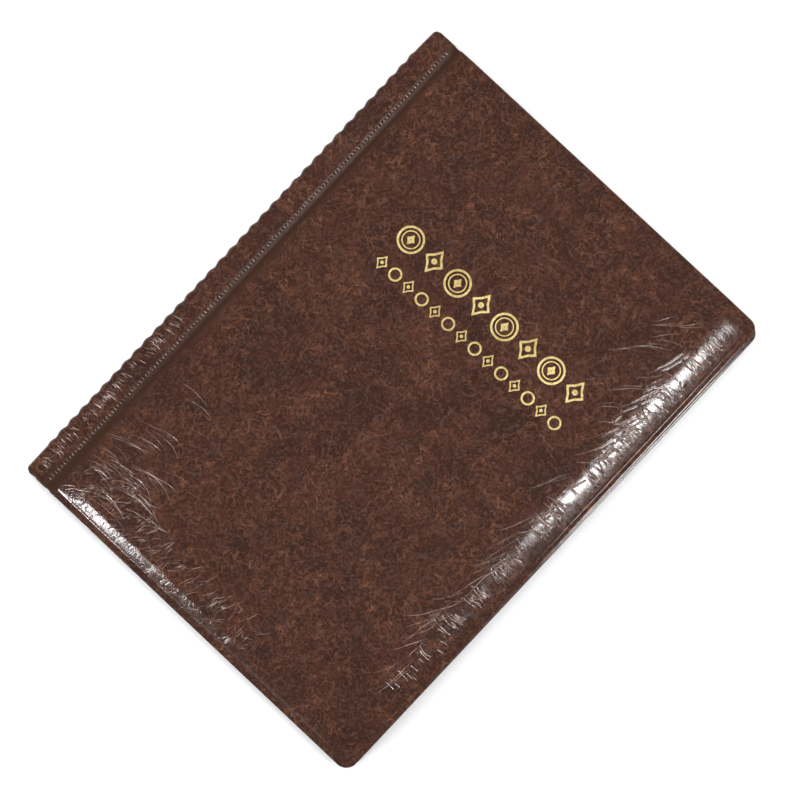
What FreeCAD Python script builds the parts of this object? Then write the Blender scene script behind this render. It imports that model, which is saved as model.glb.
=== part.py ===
"""A padded collector's album for coins and banknotes, closed, lying on its back cover.

The cover is leatherette over foam and board. It is welded at the spine through the edges of ten
clear pocket leaves. The front cover, the back cover and the leaves turn about lines beside the weld.

Millimetres. X runs from the spine (-X) to the fore edge, Y from tail to head and Z upwards.
The origin is under the middle of the closed album, on the surface that it lies on.
"""

import FreeCAD, Part

import math
import os

Vector = FreeCAD.Vector

# Whole album
HEIGHT = 260.0  # tail to head
WIDTH = 192.0  # spine to fore edge
SPINE_X = -WIDTH / 2
COVER = 3.0  # thickness of one padded cover
FRONT_INSIDE = 10.4  # height of the front cover's inner face
TOP = FRONT_INSIDE + COVER

# One cover, from the inner face outwards
LINING = 0.25
BOARD = 1.0
SKIN = 0.6
FOAM = COVER - LINING - BOARD - SKIN
BORDER = 2.6  # flat welded border round the padding
BOARD_INSET = 2.2  # the board stops this far inside the foam, which wraps round its edges
PAD_START = 15.3  # distance of the padding from the spine edge
CORNER = 5.5  # radius of the two fore corners
SPINE_CORNER = 1.2
BOARD_CORNER = 2.0
PAD_ROLL = 1.6  # rounding of the padding's outer edges
BACK_ROLL = 1.4
FRONT_SHORTER = 1.0  # the front cover stops this far short of the back one
LINING_INSET = 0.8

# Spine
SPINE_TOP = 12.0
SPINE_SKIN = 0.6
SCALLOP_PITCH = 6.72
SCALLOP_DEPTH = 0.75
SCALLOPS = 35
SPINE_WALL = 1.6  # the wrap's outer wall, at the top of a scallop
WELD_START = 10.4
WELD_END = 12.2
WELD_FACE = 11.7  # height of the weld between its ribs
RIB_PITCH = 1.79
RIB_WIDTH = 0.75
RIB_HEIGHT = 0.3
WELD_INSET = 3.0  # the ribs stop this far short of the head and the tail

# Hinges
HINGE_AT = (WELD_END + PAD_START) / 2  # distance of both cover hinges from the spine edge
FRONT_HINGE_Z = TOP - 0.2
BACK_HINGE_Z = -0.1
FRONT_GROOVE = 2.0  # radius of the groove along the front hinge
BACK_GROOVE = 1.9

# Leaves
LEAVES = 10
COIN_LEAVES = 5  # the upper half of the leaves holds coins, the lower half banknotes
LEAF_PITCH = 0.7
LOWEST_LEAF = 3.6  # height of the middle of the lowest leaf
FILM = 0.2
POCKET_FILM = 0.15
POCKET_SLOT = 0.08  # how far the pocket film stands off the base film
LEAF_HEIGHT = 254.0
LEAF_END = 188.5  # distance of the leaf's fore edge from the spine edge
LEAF_CORNER = 3.0
FIRST_TURN = 17.5  # distance of the uppermost leaf's fold from the spine edge
TURN_STEP = 0.8  # each lower leaf folds this much further out
BOUND_EDGE = 2.2  # where the leaves' bound edges begin
POCKETS_START = 27.0
POCKET_EDGE = 1.5  # margin between the pockets and the leaf's other edges
COIN_ROWS = 5
COIN_COLUMNS = 4
NOTE_ROWS = 3
POCKET_GAP = 1.2  # clear film between two rows of pockets
SEAL = 1.0  # width of a welded seal

# Ornament
FOIL = 0.1
FOIL_START = 49.0
FOIL_END = 158.0
LARGE_ROW = 186.0 - HEIGHT / 2  # heights of the two rows' middles above the origin
LARGE_SIZE = 12.4
LARGE_MOTIFS = 8
SMALL_ROW = 170.5 - HEIGHT / 2
SMALL_SIZE = 7.4
SMALL_MOTIFS = 14


def from_spine(distance):
    """The X of a point at this distance from the spine edge."""
    return SPINE_X + distance


def leaf_z(number):
    """The height of a leaf's middle plane. Leaf 1 is the uppermost."""
    return LOWEST_LEAF + LEAF_PITCH * (LEAVES - number)


def leaf_turn(number):
    """The X of the line that a leaf folds about."""
    return from_spine(FIRST_TURN + TURN_STEP * (number - 1))


def slab(x0, x1, y0, y1, z0, z1):
    return Part.makeBox(x1 - x0, y1 - y0, z1 - z0, Vector(x0, y0, z0))


def centred_slab(x0, x1, height, z0, z1):
    """A slab that is as tall towards the head as towards the tail."""
    return slab(x0, x1, -height / 2, height / 2, z0, z1)


def vertical_edges(solid, x):
    """The upright edges of a solid that stand at this X."""
    found = []
    for edge in solid.Edges:
        a, b = edge.Vertexes[0].Point, edge.Vertexes[-1].Point
        upright = abs(a.x - b.x) + abs(a.y - b.y) < 1e-6 and abs(a.z - b.z) > 1e-6
        if upright and abs(a.x - x) < 1e-6:
            found.append(edge)
    return found


def plate(x0, x1, height, z0, z1, fore_radius, spine_radius=0.0):
    """A flat plate with rounded fore corners, and rounded spine corners if asked."""
    solid = centred_slab(x0, x1, height, z0, z1)
    if fore_radius:
        solid = solid.makeFillet(fore_radius, vertical_edges(solid, x1))
    if spine_radius:
        solid = solid.makeFillet(spine_radius, vertical_edges(solid, x0))
    return solid


def edges_at_height(solid, z):
    """The edges of a solid that lie flat at this height."""
    return [edge for edge in solid.Edges if all(abs(v.Z - z) < 1e-6 for v in edge.Vertexes)]


def padded(x0, x1, height, z0, z1, fore_radius, spine_radius, roll):
    """A plate whose upper edges are rolled over."""
    solid = plate(x0, x1, height, z0, z1, fore_radius, spine_radius)
    return solid.makeFillet(roll, edges_at_height(solid, z1))


def turned_over(shape):
    """A cover for the back, made from one whose inner face is at height zero."""
    over = shape.mirror(Vector(0, 0, 0), Vector(0, 0, 1))
    over.translate(Vector(0, 0, COVER))
    return over


def cover_parts(fore_x, roll):
    """The layers of a cover whose inner face is at height zero and whose outside faces up."""
    pad_x0 = from_spine(PAD_START)
    pad_x1 = fore_x - BORDER
    pad_height = HEIGHT - 2 * BORDER
    pad_fore = CORNER - BORDER + SKIN
    board_top = LINING + BOARD
    foam_top = board_top + FOAM
    core_x0 = pad_x0 + SKIN
    core_x1 = pad_x1 - SKIN
    core_height = pad_height - 2 * SKIN
    core_size = (core_x0, core_x1, core_height)
    core = padded(*core_size, LINING, foam_top, pad_fore - SKIN, SPINE_CORNER, roll - SKIN)
    board_x0 = core_x0 + BOARD_INSET
    board_x1 = core_x1 - BOARD_INSET
    board = plate(board_x0, board_x1, core_height - 2 * BOARD_INSET, LINING, board_top, BOARD_CORNER)
    foam = core.cut(board)
    shell = padded(pad_x0, pad_x1, pad_height, LINING, COVER, pad_fore, SPINE_CORNER + SKIN, roll)
    flange = plate(pad_x0, fore_x, HEIGHT, LINING, LINING + SKIN, CORNER)
    skin = shell.fuse(flange).cut(core).removeSplitter()
    lining = plate(pad_x0, fore_x - LINING_INSET, HEIGHT - 2 * LINING_INSET, 0, LINING, CORNER)
    return {"skin": skin, "foam": foam, "board": board, "lining": lining}


def front_cover_parts():
    parts = cover_parts(WIDTH / 2 - FRONT_SHORTER, PAD_ROLL)
    for shape in parts.values():
        shape.translate(Vector(0, 0, FRONT_INSIDE))
    return {f"front_cover_{name}": shape for name, shape in parts.items()}


def back_cover_parts():
    parts = cover_parts(WIDTH / 2, BACK_ROLL)
    return {f"back_cover_{name}": turned_over(shape) for name, shape in parts.items()}


def scalloped_outline():
    """The spine wrap's outline from above: straight at both ends and scalloped between them."""
    start = -SCALLOPS * SCALLOP_PITCH / 2
    x_low = SPINE_X
    x_high = SPINE_X + SCALLOP_DEPTH
    end_x = from_spine(WELD_START)
    half = HEIGHT / 2
    edges = [Part.makeLine(Vector(x_high, -half, 0), Vector(x_high, start, 0))]
    for number in range(SCALLOPS):
        y = start + number * SCALLOP_PITCH
        foot = Vector(x_high, y, 0)
        top = Vector(x_low, y + SCALLOP_PITCH / 2, 0)
        end = Vector(x_high, y + SCALLOP_PITCH, 0)
        edges.append(Part.Arc(foot, top, end).toShape())
    edges.append(Part.makeLine(Vector(x_high, -start, 0), Vector(x_high, half, 0)))
    edges.append(Part.makeLine(Vector(x_high, half, 0), Vector(end_x, half, 0)))
    edges.append(Part.makeLine(Vector(end_x, half, 0), Vector(end_x, -half, 0)))
    edges.append(Part.makeLine(Vector(end_x, -half, 0), Vector(x_high, -half, 0)))
    return Part.Face(Part.Wire(edges))


def spine_wrap():
    """Leatherette round the bound edges: a channel that is open towards the weld."""
    outer = scalloped_outline().extrude(Vector(0, 0, SPINE_TOP))
    x0 = from_spine(SPINE_WALL)
    x1 = from_spine(WELD_START)
    past_ends = HEIGHT + 2
    return outer.cut(centred_slab(x0, x1, past_ends, SPINE_SKIN, SPINE_TOP - SPINE_SKIN))


def rib_outline(y0, y1, foot, crest):
    """The four corners of one rib, from the end of the album that y0 is nearer to."""
    return [(y0, foot), (y0, crest), (y1, crest), (y1, foot)]


def binding_weld():
    """The bar where the cover and all the leaves are fused, with knurled ribs above and below."""
    half = HEIGHT / 2
    bottom = SPINE_TOP - WELD_FACE
    ribs = int((HEIGHT - 2 * WELD_INSET) / RIB_PITCH)
    first = -(ribs - 1) * RIB_PITCH / 2
    upper, lower = [], []
    for number in range(ribs):
        y0 = first + number * RIB_PITCH - RIB_WIDTH / 2
        y1 = y0 + RIB_WIDTH
        upper += rib_outline(y0, y1, WELD_FACE, WELD_FACE + RIB_HEIGHT)
        lower += rib_outline(y0, y1, bottom, bottom - RIB_HEIGHT)
    outline = [(-half, bottom), (-half, WELD_FACE), *upper, (half, WELD_FACE), (half, bottom)]
    outline += reversed(lower)
    x = from_spine(WELD_START)
    points = [Vector(x, y, z) for y, z in outline]
    face = Part.Face(Part.makePolygon([*points, points[0]]))
    return face.extrude(Vector(WELD_END - WELD_START, 0, 0))


def bound_slab(z0, z1):
    """A strip inside the spine wrap, between these heights."""
    return centred_slab(from_spine(BOUND_EDGE), from_spine(WELD_START), LEAF_HEIGHT, z0, z1)


def leaf_bound_edges():
    """The leaves' edges inside the spine, from the uppermost down."""
    half = FILM / 2
    return [bound_slab(leaf_z(n) - half, leaf_z(n) + half) for n in range(1, LEAVES + 1)]


def spine_guards():
    """Strips that fill the spine between the leaves' edges, and above and below them."""
    half = FILM / 2
    heights = [SPINE_SKIN, *(leaf_z(n) for n in range(LEAVES, 0, -1)), SPINE_TOP - SPINE_SKIN]
    guards = []
    for below, above in zip(heights, heights[1:]):
        z0 = below if below == SPINE_SKIN else below + half
        z1 = above if above == SPINE_TOP - SPINE_SKIN else above - half
        guards.append(bound_slab(z0, z1))
    return guards


def groove(hinge_z, radius, sign):
    """A hinge skin: a trough round the hinge line, between the weld and the padding."""
    tail = -HEIGHT / 2
    half = (PAD_START - WELD_END) / 2

    def arc_points(r):
        end_z = hinge_z + sign * math.sqrt(r * r - half * half)
        start = Vector(from_spine(WELD_END), tail, end_z)
        middle = Vector(from_spine(HINGE_AT), tail, hinge_z + sign * r)
        end = Vector(from_spine(PAD_START), tail, end_z)
        return start, middle, end

    outer = arc_points(radius)
    inner = arc_points(radius + SKIN)
    wire = Part.Wire([
        Part.Arc(*outer).toShape(),
        Part.makeLine(outer[2], inner[2]),
        Part.Arc(*reversed(inner)).toShape(),
        Part.makeLine(inner[0], outer[0]),
    ])
    return Part.Face(wire).extrude(Vector(0, HEIGHT, 0))


def leaf_margin(number):
    """The clear strip of a leaf between the weld and the leaf's fold."""
    half = FILM / 2
    z = leaf_z(number)
    return centred_slab(from_spine(WELD_END), leaf_turn(number) - half, LEAF_HEIGHT, z - half, z + half)


def leaf_film(number):
    """A leaf's base film, with a round edge where it folds."""
    half = FILM / 2
    z = leaf_z(number)
    x = leaf_turn(number)
    film = plate(x, from_spine(LEAF_END), LEAF_HEIGHT, z - half, z + half, LEAF_CORNER)
    fold = Part.makeCylinder(half, LEAF_HEIGHT, Vector(x, -LEAF_HEIGHT / 2, z), Vector(0, 1, 0))
    return film.fuse(fold).removeSplitter()


def pocket_strip(y0, y1, columns, z):
    """One row of pockets: a film sealed down at the sides, the bottom and between the pockets."""
    x0 = from_spine(POCKETS_START)
    x1 = from_spine(LEAF_END - POCKET_EDGE)
    film_z = z + POCKET_SLOT
    strip = slab(x0, x1, y0, y1, film_z, film_z + POCKET_FILM)
    seals = [slab(x0, x1, y0, y0 + SEAL, z, film_z)]
    for number in range(columns + 1):
        x = x0 + (x1 - x0 - SEAL) * number / columns
        seals.append(slab(x, x + SEAL, y0, y1, z, film_z))
    return strip.multiFuse(seals).removeSplitter()


def leaf_pockets(number):
    """The pocket films on top of a leaf's base film, one for each row."""
    coins = number <= COIN_LEAVES
    rows = COIN_ROWS if coins else NOTE_ROWS
    columns = COIN_COLUMNS if coins else 1
    z = leaf_z(number) + FILM / 2
    low = -LEAF_HEIGHT / 2 + POCKET_EDGE
    pitch = (LEAF_HEIGHT - 2 * POCKET_EDGE + POCKET_GAP) / rows
    strips = []
    for row in range(rows):
        y0 = low + pitch * row
        strips.append(pocket_strip(y0, y0 + pitch - POCKET_GAP, columns, z))
    return strips


def foil_prism(points):
    vectors = [Vector(x, y, TOP) for x, y in points]
    return Part.Face(Part.makePolygon([*vectors, vectors[0]])).extrude(Vector(0, 0, FOIL))


def lozenge(x, y, width, height):
    return foil_prism([(x - width, y), (x, y - height), (x + width, y), (x, y + height)])


def disc(x, y, radius):
    return Part.makeCylinder(radius, FOIL, Vector(x, y, TOP))


def coin_motif(x, y, size):
    """A coin: a rim, a thin inner line and a small lozenge in the middle."""
    r = size / 2
    rim = disc(x, y, r).cut(disc(x, y, 0.84 * r))
    line = disc(x, y, 0.66 * r).cut(disc(x, y, 0.58 * r))
    return [rim, line, lozenge(x, y, 0.26 * r, 0.40 * r)]


def lozenge_motif(x, y, size):
    """A lozenge frame round a dot."""
    r = size / 2
    outer = lozenge(x, y, 0.80 * r, r)
    inner = lozenge(x, y, 0.56 * r, 0.72 * r)
    return [outer.cut(inner), disc(x, y, 0.20 * r)]


def bead_motif(x, y, size):
    """A small ring."""
    return [disc(x, y, 0.42 * size).cut(disc(x, y, 0.29 * size))]


def cover_ornament():
    """Two rows of foil: large coins and lozenges, and below them small lozenges and rings."""
    solids = []
    middles = ((LARGE_MOTIFS, LARGE_ROW, LARGE_SIZE), (SMALL_MOTIFS, SMALL_ROW, SMALL_SIZE))
    for row, (count, y, size) in enumerate(middles):
        first = from_spine(FOIL_START) + size / 2
        last = from_spine(FOIL_END) - size / 2
        for number in range(count):
            x = first + (last - first) * number / (count - 1)
            if row == 0:
                motif = coin_motif if number % 2 == 0 else lozenge_motif
            else:
                motif = lozenge_motif if number % 2 == 0 else bead_motif
            solids += motif(x, y, size)
    return solids


def all_parts():
    parts = {
        "spine_wrap": spine_wrap(),
        "binding_weld": binding_weld(),
        "leaf_bound_edges": leaf_bound_edges(),
        "spine_guards": spine_guards(),
        "front_hinge_skin": groove(FRONT_HINGE_Z, FRONT_GROOVE, -1),
        "back_hinge_skin": groove(BACK_HINGE_Z, BACK_GROOVE, 1),
        "front_cover_ornament": cover_ornament(),
    }
    parts.update(front_cover_parts())
    parts.update(back_cover_parts())
    for number in range(1, LEAVES + 1):
        parts[f"leaf_{number:02d}_margin"] = leaf_margin(number)
        parts[f"leaf_{number:02d}_film"] = leaf_film(number)
        parts[f"leaf_{number:02d}_pockets"] = leaf_pockets(number)
    return parts


def export():
    os.makedirs("parts", exist_ok=True)
    for name, shape in all_parts().items():
        if isinstance(shape, list):
            shape = Part.makeCompound(shape)
        print(f"{name}: {len(shape.Solids)} solids, valid {shape.isValid()}, {shape.Volume:.1f} mm3")
        shape.exportStep(f"parts/{name}.step")


export()
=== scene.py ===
import math

import bmesh
import bpy
import numpy as np
from mathutils import Matrix, Vector


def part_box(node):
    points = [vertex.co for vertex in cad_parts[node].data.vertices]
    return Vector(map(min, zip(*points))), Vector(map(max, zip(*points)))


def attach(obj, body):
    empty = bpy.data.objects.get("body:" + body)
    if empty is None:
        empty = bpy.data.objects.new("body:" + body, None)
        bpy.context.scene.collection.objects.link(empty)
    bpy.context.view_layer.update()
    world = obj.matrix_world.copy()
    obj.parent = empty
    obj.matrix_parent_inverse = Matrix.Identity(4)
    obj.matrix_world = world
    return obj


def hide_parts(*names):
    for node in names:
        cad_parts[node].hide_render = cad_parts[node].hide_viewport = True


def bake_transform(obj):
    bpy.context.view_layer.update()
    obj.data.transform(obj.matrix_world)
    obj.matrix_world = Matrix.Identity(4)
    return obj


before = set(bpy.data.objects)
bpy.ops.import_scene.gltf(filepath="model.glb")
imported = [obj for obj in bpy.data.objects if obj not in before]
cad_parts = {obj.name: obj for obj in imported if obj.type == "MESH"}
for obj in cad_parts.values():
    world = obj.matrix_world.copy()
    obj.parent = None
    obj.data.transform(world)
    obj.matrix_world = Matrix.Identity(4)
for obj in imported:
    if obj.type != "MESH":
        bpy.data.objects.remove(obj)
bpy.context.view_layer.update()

MM = 0.001

# Places from the frame
WRAP_LOW, WRAP_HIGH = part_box("spine_wrap")
WELD_LOW, WELD_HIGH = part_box("binding_weld")
FRONT_LOW, FRONT_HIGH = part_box("front_cover_skin")
BACK_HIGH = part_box("back_cover_skin")[1]
SPINE_X = WRAP_LOW[0]
HEAD_Y = FRONT_HIGH[1]
GROOVE_END_X = FRONT_LOW[0]  # the padding starts here
GROOVE_START_X = WELD_HIGH[0]
GROOVE_X = (GROOVE_START_X + GROOVE_END_X) / 2
STRIP_Z = WRAP_HIGH[2]  # top of the strip along the spine
MIDDLE_Z = STRIP_Z / 2
FRONT_TOP = FRONT_HIGH[2]
FRONT_UNDER = FRONT_LOW[2]  # underside of the front cover's border
HINGE_Z = FRONT_TOP - 0.2 * MM
BACK_HINGE_OUT = 0.1 * MM  # the back hinge lies this far outside the album

# Leatherette
SKIN = 0.6 * MM
FOLDED_SKIN = 0.54 * MM  # where it is stretched over the spine and the grooves
BORDER_TOP = FRONT_UNDER + SKIN
PAD_RISE = 2.80 * MM
CROWN = 0.30 * MM
CORNER = 5.5 * MM
BORDER_TAIL = 2.9 * MM
BORDER_FORE = 2.5 * MM
HEAD_LIP = 0.70  # the padding reaches the head edge at this share of its height
GROOVE_LIP = 0.40  # and the groove at this share
ROLL_HEAD = 7.0 * MM
ROLL_TAIL = 8.0 * MM
ROLL_FORE = 16.5 * MM
ROLL_GROOVE = 13.0 * MM
GROOVE = 2.0 * MM  # radius of the front hinge groove
BACK_GROOVE = 1.9 * MM
FORE_SLANT = 0.55 * MM  # the front cover's fore edge leans by this much at its ends

# Spine
SCALLOP_PITCH = 6.72 * MM
SCALLOP_DEPTH = 0.75 * MM
SCALLOPED = 117.6 * MM  # the scallops stop this far from the middle
SPINE_ROLL = 1.9 * MM
WELD_DIP = 0.3 * MM
RIB_PITCH = 1.79 * MM
RIB_LENGTH = 2.1 * MM
RIB_WIDTH = 1.0 * MM
RIB_HEIGHT = 0.35 * MM
RIBS_END = 126.2 * MM  # the ribs stop this far from the middle

# Leaves
LEAVES = 10
FILM = 0.24 * MM  # thickness drawn for a leaf's folding strip
COIN_LEAVES = 5
COIN_ROWS = 5
COIN_COLUMNS = 4
NOTE_ROWS = 3
POCKET_GAP = 1.2 * MM
SEAL = 1.0 * MM

# Ornament
LARGE_MOTIFS = 8
SMALL_MOTIFS = 14
LARGE_SIZE = 12.4 * MM
SMALL_SIZE = 7.4 * MM
FOIL = 0.07 * MM

# Camera, over the closed album and leaning a little towards the fore edge
CAMERA_AT = Vector((0.0371, 0.0202, 0.9661))
CAMERA_AIM = Vector((0.0027, 0.0026, 0.0130))
CAMERA_UP = Vector((-0.6831, 0.7306, 0.0111))
CAMERA_LENS = 100.0


# ---- camera, floor and light

def make_camera():
    data = bpy.data.cameras.new("camera")
    data.lens = CAMERA_LENS
    data.clip_start = 0.01
    data.clip_end = 20.0
    camera = bpy.data.objects.new("camera", data)
    bpy.context.collection.objects.link(camera)
    back = (CAMERA_AT - CAMERA_AIM).normalized()
    right = CAMERA_UP.cross(back).normalized()
    up = back.cross(right)
    turn = Matrix((right, up, back)).transposed().to_4x4()
    camera.matrix_world = Matrix.Translation(CAMERA_AT) @ turn
    bpy.context.scene.camera = camera


def area_light(name, place, aim, size, power, glossy=True):
    """A softbox. Without glossy it brightens the surfaces but isn't mirrored in them."""
    data = bpy.data.lights.new(name, "AREA")
    data.shape = "RECTANGLE"
    data.size, data.size_y = size
    data.energy = power
    light = bpy.data.objects.new(name, data)
    bpy.context.collection.objects.link(light)
    light.location = place
    direction = Vector(aim) - Vector(place)
    light.rotation_mode = "QUATERNION"
    light.rotation_quaternion = direction.to_track_quat("-Z", "Y")
    light.visible_glossy = glossy


def make_lights():
    area_light("tail_softbox", (-0.155, -0.74, 0.44), (-0.070, -0.125, 0.0), (0.085, 0.30), 2.0)
    area_light("fore_softbox", (0.40, 0.086, 0.69), (0.087, 0.050, 0.0), (0.18, 0.085), 1.45)
    area_light("head_fill", (0.1, 0.8, 0.9), (0.0, 0.0, 0.0), (1.0, 0.6), 6.0, glossy=False)
    area_light("spine_fill", (-0.8, -0.1, 0.9), (0.0, 0.0, 0.0), (1.0, 0.6), 6.0, glossy=False)
    area_light("top_fill", (0.05, 0.0, 1.6), (0.0, 0.0, 0.0), (1.2, 1.2), 12.0, glossy=False)
    bpy.context.scene.view_settings.view_transform = "Standard"
    bpy.context.scene.cycles.transparent_max_bounces = 48


def make_world():
    """A pale studio: bright walls down to the floor's edge, and a dark ceiling."""
    world = bpy.data.worlds.new("studio")
    bpy.context.scene.world = world
    world.use_nodes = True
    tree = world.node_tree
    where = tree.nodes.new("ShaderNodeTexCoord")
    axes = tree.nodes.new("ShaderNodeSeparateXYZ")
    tree.links.new(where.outputs["Generated"], axes.inputs["Vector"])
    fall = tree.nodes.new("ShaderNodeMapRange")
    fall.interpolation_type = "SMOOTHSTEP"
    tree.links.new(axes.outputs["Z"], fall.inputs["Value"])
    for name, value in (("From Min", 0.12), ("From Max", 0.50), ("To Min", 0.95), ("To Max", 0.13)):
        fall.inputs[name].default_value = value
    background = tree.nodes["Background"]
    background.inputs["Color"].default_value = (1.0, 1.0, 1.0, 1.0)
    tree.links.new(fall.outputs["Result"], background.inputs["Strength"])


def make_floor():
    """The floor, level with the album's back.

    A shallow dip beside the spine holds the back cover when it is opened.
    """
    edge, deep = SPINE_X - 0.05 * MM, -3.5 * MM
    xs = (-3.0, -0.42, -0.275, edge, edge, 3.0)
    across = (0, 0, 1, 1, 0, 0)
    ys = (-3.0, -0.19, -0.131, 0.131, 0.19, 3.0)
    along = (0, 0, 1, 1, 0, 0)
    points = [(x, y, deep * a * b) for x, a in zip(xs, across) for y, b in zip(ys, along)]
    mesh = bpy.data.meshes.new("floor")
    mesh.from_pydata(points, [], grid_quads(len(xs), len(ys)).tolist())
    floor = bpy.data.objects.new("floor", mesh)
    bpy.context.collection.objects.link(floor)
    floor.data.materials.append(floor_material())


# ---- materials

class Shader:
    """A material under construction: short calls that add nodes and join them."""

    def __init__(self, name):
        self.material = bpy.data.materials.new(name)
        self.material.use_nodes = True
        self.tree = self.material.node_tree
        self.surface = self.tree.nodes["Principled BSDF"]

    def node(self, kind, **inputs):
        made = self.tree.nodes.new(kind)
        for name, value in inputs.items():
            self.feed(made.inputs[name.replace("_", " ")], value)
        return made

    def feed(self, socket, value):
        """Joins another node's output to a socket, or sets the socket's own value."""
        if isinstance(value, bpy.types.NodeSocket):
            self.tree.links.new(value, socket)
        else:
            socket.default_value = value

    def place(self, scale=(1.0, 1.0, 1.0), turn=0.0):
        """The object's own coordinates, stretched and turned about the vertical."""
        where = self.node("ShaderNodeTexCoord").outputs["Object"]
        return self.mapped(where, scale, turn)

    def mapped(self, where, scale, turn):
        mapping = self.node("ShaderNodeMapping", Vector=where, Scale=scale, Rotation=(0.0, 0.0, turn))
        return mapping.outputs["Vector"]

    def noise(self, scale, vector=None, detail=4.0, roughness=0.55, distortion=0.0):
        made = self.node("ShaderNodeTexNoise", Scale=scale, Detail=detail, Roughness=roughness,
                         Distortion=distortion, Vector=vector or self.place())
        return made.outputs["Fac"]

    def cells(self, scale, vector=None, feature="DISTANCE_TO_EDGE"):
        made = self.node("ShaderNodeTexVoronoi")
        made.feature = feature
        self.feed(made.inputs["Scale"], scale)
        self.feed(made.inputs["Vector"], vector or self.place())
        return made.outputs["Distance"]

    def spread(self, value, low, high, to_low=0.0, to_high=1.0):
        """A value's range from low to high, carried to another range and clamped."""
        made = self.node("ShaderNodeMapRange", Value=value, From_Min=low, From_Max=high,
                         To_Min=to_low, To_Max=to_high)
        return made.outputs["Result"]

    def maths(self, operation, a, b):
        made = self.node("ShaderNodeMath")
        made.operation = operation
        for socket, value in zip(made.inputs, (a, b)):
            self.feed(socket, value)
        return made.outputs["Value"]

    def times(self, a, b):
        return self.maths("MULTIPLY", a, b)

    def mix(self, factor, a, b):
        """Colour a where factor is 0 and colour b where it is 1."""
        made = self.node("ShaderNodeMix")
        made.data_type = "RGBA"
        self.feed(made.inputs[0], factor)
        for socket, colour in ((made.inputs[6], a), (made.inputs[7], b)):
            self.feed(socket, (*colour, 1.0) if isinstance(colour, tuple) else colour)
        return made.outputs[2]

    def split(self, vector):
        made = self.node("ShaderNodeSeparateXYZ", Vector=vector)
        return list(made.outputs)

    def hump(self, value, centre, width):
        """A smooth hump of height 1 at the centre."""
        off = self.maths("DIVIDE", self.maths("SUBTRACT", value, centre), width)
        square = self.times(off, off)
        return self.maths("EXPONENT", self.times(square, -1.0), 0.0)

    def attribute(self, name, output="Fac"):
        made = self.node("ShaderNodeAttribute")
        made.attribute_name = name
        return made.outputs[output]

    def warped(self, amount, scale, stretch=(1.0, 1.0, 1.0), turn=0.0):
        """The place, pushed about by noise, so that lines drawn from it wander."""
        push = self.node("ShaderNodeTexNoise", Scale=scale, Detail=3.0, Vector=self.place())
        centred = self.vector_maths("SUBTRACT", push.outputs["Color"], (0.5, 0.5, 0.5))
        pushed = self.vector_maths("SCALE", centred, amount)
        where = self.vector_maths("ADD", self.place(), pushed)
        return self.mapped(where, stretch, turn)

    def vector_maths(self, operation, a, b):
        made = self.node("ShaderNodeVectorMath")
        made.operation = operation
        self.feed(made.inputs[0], a)
        self.feed(made.inputs["Scale" if operation == "SCALE" else 1], b)
        return made.outputs["Vector"]

    def bump(self, height, distance, strength=1.0, under=None):
        made = self.node("ShaderNodeBump", Height=height, Distance=distance, Strength=strength)
        if under is not None:
            self.feed(made.inputs["Normal"], under)
        return made.outputs["Normal"]

    def finish(self, **inputs):
        for name, value in inputs.items():
            if isinstance(value, tuple) and len(value) == 3:
                value = (*value, 1.0)
            self.feed(self.surface.inputs[name.replace("_", " ")], value)
        return self.material


def floor_material():
    """White paper. It glows a little far from the album, where the softboxes don't reach."""
    s = Shader("floor_paper")
    grain = s.noise(900.0, detail=2.0)
    tone = s.mix(grain, (0.93, 0.93, 0.93), (0.96, 0.96, 0.96))
    x, y, _ = s.split(s.place())
    away = s.maths("POWER", s.maths("ADD", s.times(x, x), s.times(y, y)), 0.5)
    glow = s.spread(away, 0.45, 1.30, 0.0, 0.72)
    white = (0.97, 0.97, 0.97)
    return s.finish(Base_Color=tone, Roughness=0.9, Emission_Color=white, Emission_Strength=glow)


def strands(s, scale, vector, width):
    """Thin wandering lines, 1 on the line and 0 beside it: where a noise passes its middle value."""
    away = s.maths("ABSOLUTE", s.maths("SUBTRACT", s.noise(scale, vector, 2.0, 0.5), 0.5), 0.0)
    return s.spread(away, 0.0, width, 1.0, 0.0)


def leather_colour(s):
    """Dark brown, marbled with fine red-brown threads that gather in patches."""
    dark, middle = (0.0330, 0.0108, 0.0060), (0.0550, 0.0172, 0.0094)
    thread, bright = (0.118, 0.0415, 0.0215), (0.205, 0.0820, 0.0420)
    patches = s.spread(s.noise(60.0, detail=5.0, roughness=0.62, distortion=0.8), 0.38, 0.62)
    base = s.mix(patches, dark, middle)
    swirl = s.warped(0.014, 70.0)
    gather = s.spread(s.noise(70.0, detail=4.0, roughness=0.6, distortion=1.0), 0.42, 0.62)
    combing = s.warped(0.014, 70.0, (1.0, 0.42, 1.0), 0.25)
    fur = s.noise(560.0, combing, detail=5.0, roughness=0.70, distortion=0.8)
    furry = s.times(s.spread(fur, 0.50, 0.66), s.spread(gather, 0.0, 1.0, 0.15, 0.75))
    base = s.mix(furry, base, thread)
    rings = s.maths("SINE", s.times(s.noise(80.0, s.warped(0.010, 55.0), 2.0, 0.5), 62.0), 0.0)
    combed = s.times(s.spread(rings, 0.0, 0.95), s.spread(fur, 0.38, 0.56))
    base = s.mix(s.times(combed, s.spread(gather, 0.0, 1.0, 0.28, 0.85)), base, thread)
    veins = strands(s, 150.0, swirl, 0.019)
    base = s.mix(s.times(veins, s.spread(gather, 0.0, 1.0, 0.10, 0.95)), base, bright)
    cracks = strands(s, 330.0, s.warped(0.008, 150.0), 0.045)
    base = s.mix(s.times(cracks, 0.52), base, (0.0165, 0.0075, 0.0055))
    # Painted highlight: fine pale neutral specks that stand in for glints off the grain.
    grain_glints = s.spread(s.noise(800.0, s.warped(0.003, 200.0), detail=3.0), 0.52, 0.66)
    base = s.mix(s.times(grain_glints, 0.45), base, (0.1150, 0.0690, 0.0560))
    specks = s.spread(s.noise(1100.0, detail=3.0), 0.44, 0.58)
    return s.mix(s.times(specks, 0.34), base, (0.0190, 0.0075, 0.0050))


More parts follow.
